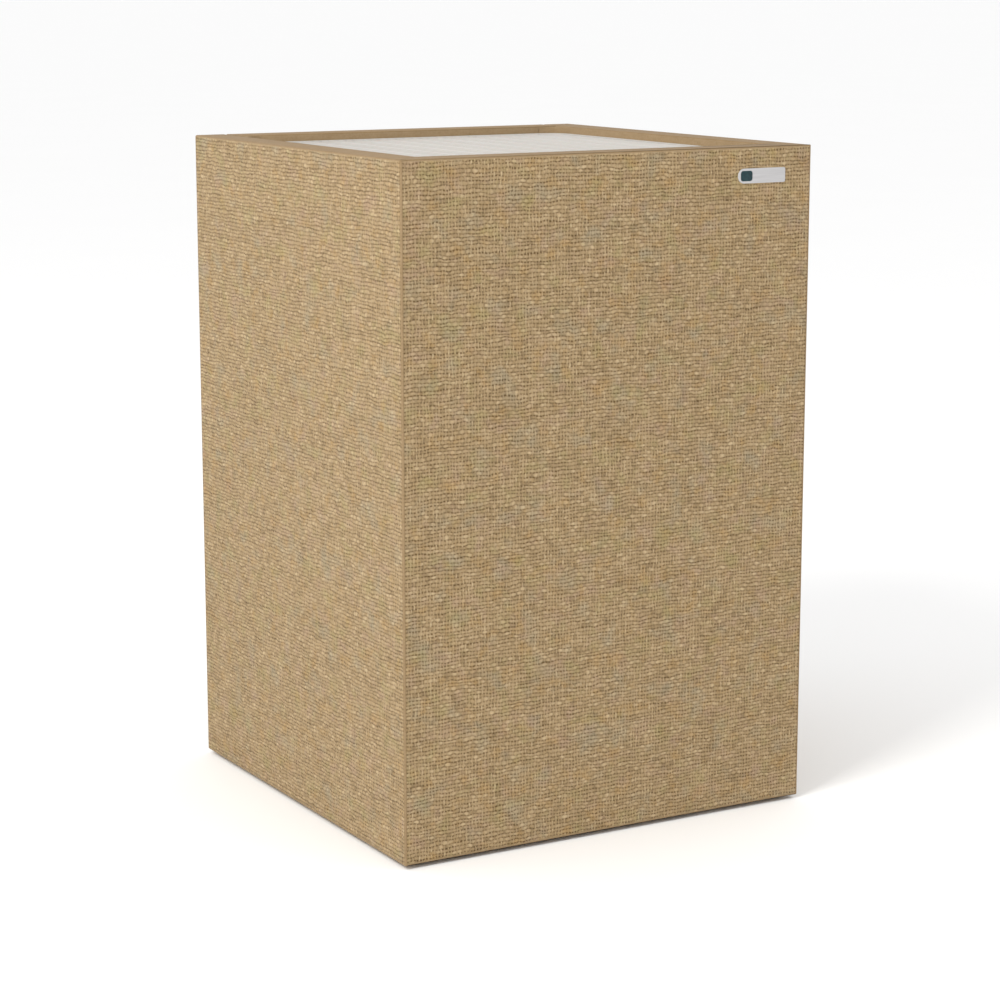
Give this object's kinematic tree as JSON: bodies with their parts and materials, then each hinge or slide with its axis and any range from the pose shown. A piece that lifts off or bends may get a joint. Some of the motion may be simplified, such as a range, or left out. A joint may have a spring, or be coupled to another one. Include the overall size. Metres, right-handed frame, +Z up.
{
  "type": "air purifier",
  "caption": "Floor-standing box air purifier wrapped in woven cloth, with a recessed white slatted outlet, a hinged rear service door, a filter stack and a centrifugal fan.",
  "frame": {"origin": "on the floor under the middle of the box", "axes": "+Z up; the front, with the badge, faces -Y; +X is the right-hand side seen from the front"},
  "size_m": [0.55, 0.5509, 0.805],
  "materials": {
    "cloth": "matte",
    "felt_board": "matte",
    "white_plastic": "satin",
    "badge_plate": "satin",
    "dark_lens": "gloss",
    "powder_coat": "matte",
    "zinc_sheet": "satin",
    "bright_steel": "polished",
    "rubber": "matte",
    "magnet": "matte",
    "foam": "matte",
    "black_plastic": "satin",
    "carbon": "matte",
    "filter_card": "matte",
    "filter_paper": "matte",
    "laminations": "satin",
    "circuit_board": "satin"
  },
  "bodies": {
    "cabinet": {"front_cover": "cloth", "left_cover": "cloth", "right_cover": "cloth", "front_board": "felt_board", "left_board": "felt_board", "right_board": "felt_board", "badge_plate": "badge_plate", "indicator_lens": "dark_lens", "base_plate": "powder_coat", "service_panel": "powder_coat", "motor_bracket": "powder_coat", "post_front_left": "zinc_sheet", "post_front_right": "zinc_sheet", "post_rear_left": "zinc_sheet", "post_rear_right": "zinc_sheet", "top_frame": "zinc_sheet", "filter_rail_left": "zinc_sheet", "filter_rail_right": "zinc_sheet", "fan_deck": "zinc_sheet", "inlet_ring": "zinc_sheet", "control_box": "zinc_sheet", "hinge_lower_fixed_leaf": "zinc_sheet", "hinge_upper_fixed_leaf": "zinc_sheet", "hinge_lower_pin": "bright_steel", "hinge_upper_pin": "bright_steel", "bearing_lower": "bright_steel", "bearing_upper": "bright_steel", "foot_front_left": "rubber", "foot_front_right": "rubber", "foot_rear_left": "rubber", "foot_rear_right": "rubber", "isolator_rear": "rubber", "isolator_front_left": "rubber", "isolator_front_right": "rubber", "motor_lead": "rubber", "door_catch": "magnet", "acoustic_lining": "foam", "filter_gasket": "foam", "mains_inlet": "black_plastic", "switch_housing": "black_plastic", "particle_sensor": "black_plastic", "prefilter": "black_plastic", "carbon_filter": "carbon", "fine_filter_frame": "filter_card", "fine_filter_pleats": "filter_paper", "motor_stator": "laminations", "control_board": "circuit_board"},
    "rear_door": {"door_board": "felt_board", "door_cover": "cloth", "intake_grille": "powder_coat", "hinge_lower_door_leaf": "zinc_sheet", "hinge_upper_door_leaf": "zinc_sheet", "strike_plate": "bright_steel"},
    "fan_rotor": {"impeller": "black_plastic", "motor_rotor": "powder_coat", "motor_shaft": "bright_steel"},
    "outlet": {"outlet_grille": "white_plastic"},
    "rocker": {"power_rocker": "black_plastic"},
    "knob": {"speed_knob": "black_plastic"},
    "fuse_tray": {"fuse_drawer": "black_plastic"}
  },
  "joints": [
    {"name": "door_swing", "type": "hinge", "parent": "cabinet", "child": "rear_door", "pos_m": [-0.227, 0.27, 0.4475], "axis": [0, 0, 1], "range_deg": [0, 105]},
    {"name": "fan_spin", "type": "hinge", "parent": "cabinet", "child": "fan_rotor", "pos_m": [0, 0, 0.5], "axis": [0, 0, 1], "continuous": true},
    {"name": "grille_lift", "type": "slide", "parent": "cabinet", "child": "outlet", "axis": [0, 0, 1], "range_m": [0, 0.06]},
    {"name": "rocker_tip", "type": "hinge", "parent": "cabinet", "child": "rocker", "pos_m": [0.1, 0.2523, 0.047], "axis": [1, 0, 0], "range_deg": [0, 14]},
    {"name": "knob_turn", "type": "hinge", "parent": "cabinet", "child": "knob", "pos_m": [0.03, 0.2513, 0.047], "axis": [0, 1, 0], "range_deg": [0, 270]},
    {"name": "fuse_pull", "type": "slide", "parent": "cabinet", "child": "fuse_tray", "axis": [0, 1, 0], "range_m": [0, 0.014]}
  ]
}
